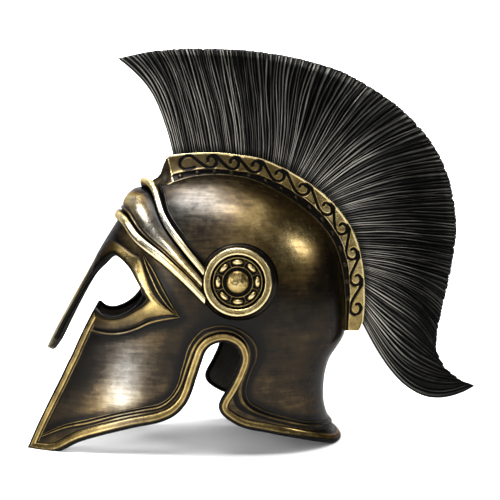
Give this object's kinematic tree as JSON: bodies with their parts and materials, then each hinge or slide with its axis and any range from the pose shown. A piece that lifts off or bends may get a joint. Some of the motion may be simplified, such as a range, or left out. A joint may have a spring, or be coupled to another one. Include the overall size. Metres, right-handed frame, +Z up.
{
  "type": "corinthian helmet",
  "caption": "Crested Corinthian helmet with nasal, cheek guards, ear notches, brow band, temple roundels and a standing plume in an arched holder.",
  "frame": {"origin": "on the surface that the helmet rests on, below the middle of its bounding box", "axes": "+Z up, the face looks along -Y, +X to the wearer's left"},
  "size_m": [0.201, 0.4482, 0.3808],
  "materials": {
    "aged_bronze": "dark antiqued, rubbed brighter on the high places",
    "rubbed_bronze": "antiqued, rubbed bright",
    "dark_bronze": "dark patina",
    "plume_hair": "cast hair relief, near black with rubbed ridges"
  },
  "bodies": {
    "root": {"helmet_shell": "aged_bronze", "cheek_border_left": "rubbed_bronze", "cheek_border_right": "rubbed_bronze", "nape_border": "rubbed_bronze", "eye_border_left": "rubbed_bronze", "eye_border_right": "rubbed_bronze", "roundel_base_left": "dark_bronze", "roundel_base_right": "dark_bronze", "roundel_ring_left": "rubbed_bronze", "roundel_ring_right": "rubbed_bronze", "roundel_rosette_left": "rubbed_bronze", "roundel_rosette_right": "rubbed_bronze", "brow_band": "aged_bronze", "brow_rim_lower": "rubbed_bronze", "brow_rim_upper": "rubbed_bronze", "crest_holder": "rubbed_bronze", "crest_plume": "plume_hair"}
  },
  "joints": []
}
